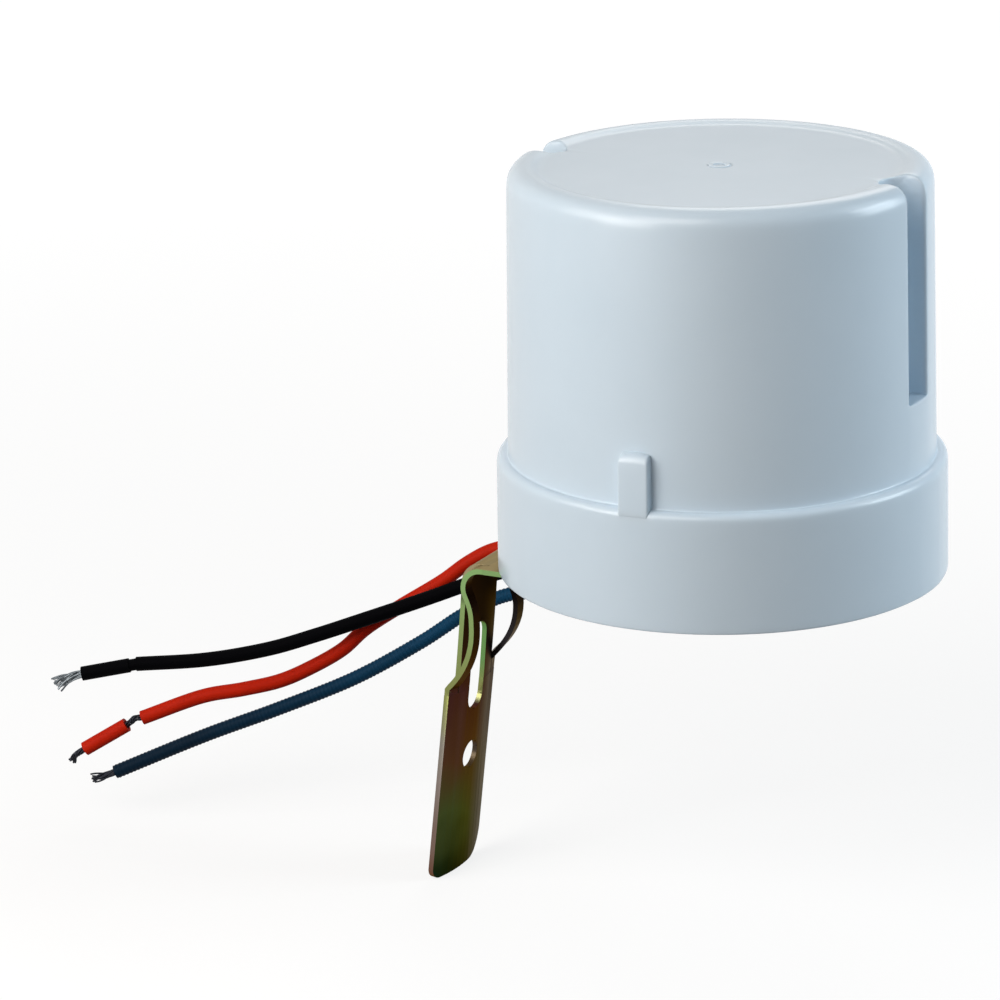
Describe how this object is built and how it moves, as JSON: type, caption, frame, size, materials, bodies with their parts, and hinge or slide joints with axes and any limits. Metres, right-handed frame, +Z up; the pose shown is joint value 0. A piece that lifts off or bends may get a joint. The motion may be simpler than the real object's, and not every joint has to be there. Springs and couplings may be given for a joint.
{
  "type": "photocell switch",
  "caption": "Grey dusk-to-dawn light switch with a stepped round cover, a folded zinc-plated steel bracket and stripped black, red and blue leads.",
  "frame": {"origin": "middle of the bracket's round wall hole, on the bracket face that goes against the wall", "axes": "+Z up along the cover's axis, +X from the wall towards the cover, Y across the bracket"},
  "size_m": [0.144, 0.068, 0.1143],
  "materials": {
    "cover_plastic": "moulded, satin",
    "base_plastic": "moulded",
    "zinc_steel": "yellow chromate on zinc",
    "screw_steel": "zinc plated",
    "bush_rubber": "moulded",
    "black_insulation": "extruded",
    "red_insulation": "extruded",
    "blue_insulation": "extruded",
    "copper_strands": "drawn wire, tarnished",
    "board_laminate": "laminate",
    "cell_face": "coated",
    "relay_case": "moulded",
    "film_case": "moulded",
    "can_sleeve": "shrink sleeve",
    "varistor_coat": "dipped",
    "black_epoxy": "moulded",
    "diode_glass": "glass bead",
    "resistor_coat": "lacquered"
  },
  "bodies": {
    "root": {"cover": "cover_plastic", "base_plate": "base_plastic", "bracket": "zinc_steel", "bracket_screw": "screw_steel", "spring_washer": "screw_steel", "bracket_nut": "screw_steel", "wire_bush": "bush_rubber", "lead_black": "black_insulation", "lead_red": "red_insulation", "lead_blue": "blue_insulation", "black_sleeve": "black_insulation", "red_sleeve": "red_insulation", "black_strands": "copper_strands", "red_strands": "copper_strands", "blue_strands": "copper_strands", "circuit_board": "board_laminate", "board_screws": "screw_steel", "photocell": "cell_face", "relay": "relay_case", "film_capacitor": "film_case", "electrolytic_capacitor": "can_sleeve", "varistor": "varistor_coat", "rectifier_diodes": "black_epoxy", "zener_diode": "diode_glass", "resistors": "resistor_coat", "transistor": "black_epoxy"}
  },
  "joints": []
}
